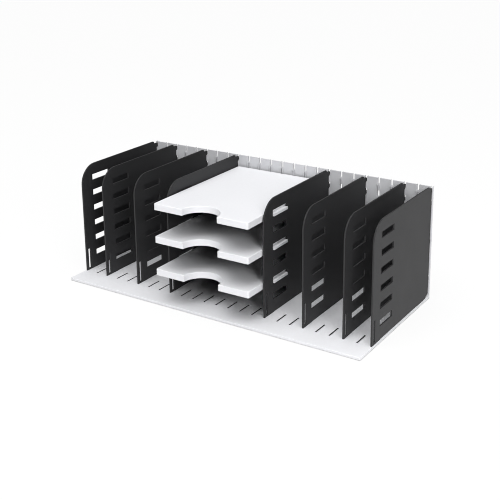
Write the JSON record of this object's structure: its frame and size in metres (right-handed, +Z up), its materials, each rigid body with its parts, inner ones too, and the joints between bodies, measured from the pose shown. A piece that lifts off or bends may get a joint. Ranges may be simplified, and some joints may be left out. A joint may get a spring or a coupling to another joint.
{
  "type": "document sorter",
  "caption": "Plug-together desk sorter: a slotted base and back panel carry upright dividers and a bay of stacked shelves with thumb cut-outs.",
  "frame": {"origin": "on the floor, under the middle of the base plate", "axes": "+X to the right along the base, +Y from the open front to the back panel, +Z up"},
  "size_m": [0.7236, 0.331, 0.253],
  "materials": {
    "white_plastic": "fine satin",
    "grey_plastic": "fine satin",
    "black_plastic": "fine satin",
    "foot_rubber": "matt"
  },
  "bodies": {
    "stand": {"base_plate": "white_plastic", "back_panel": "grey_plastic", "foot_1": "foot_rubber", "foot_2": "foot_rubber", "foot_3": "foot_rubber", "foot_4": "foot_rubber", "foot_5": "foot_rubber", "foot_6": "foot_rubber", "foot_7": "foot_rubber", "foot_8": "foot_rubber"},
    "shelf_bay": {"divider_4": "black_plastic", "divider_5": "black_plastic", "shelf_top": "white_plastic", "shelf_middle": "white_plastic", "shelf_bottom": "white_plastic"},
    "divider_1_body": {"divider_1": "black_plastic"},
    "divider_2_body": {"divider_2": "black_plastic"},
    "divider_3_body": {"divider_3": "black_plastic"},
    "divider_6_body": {"divider_6": "black_plastic"},
    "divider_7_body": {"divider_7": "black_plastic"},
    "divider_8_body": {"divider_8": "black_plastic"}
  },
  "joints": [
    {"name": "shelf_bay_lift", "type": "slide", "parent": "stand", "child": "shelf_bay", "axis": [0, 0, 1], "range_m": [0, 0.005]},
    {"name": "divider_1_lift", "type": "slide", "parent": "stand", "child": "divider_1_body", "axis": [0, 0, 1], "range_m": [0, 0.005]},
    {"name": "divider_2_lift", "type": "slide", "parent": "stand", "child": "divider_2_body", "axis": [0, 0, 1], "range_m": [0, 0.005]},
    {"name": "divider_3_lift", "type": "slide", "parent": "stand", "child": "divider_3_body", "axis": [0, 0, 1], "range_m": [0, 0.005]},
    {"name": "divider_6_lift", "type": "slide", "parent": "stand", "child": "divider_6_body", "axis": [0, 0, 1], "range_m": [0, 0.005]},
    {"name": "divider_7_lift", "type": "slide", "parent": "stand", "child": "divider_7_body", "axis": [0, 0, 1], "range_m": [0, 0.005]},
    {"name": "divider_8_lift", "type": "slide", "parent": "stand", "child": "divider_8_body", "axis": [0, 0, 1], "range_m": [0, 0.005]}
  ]
}
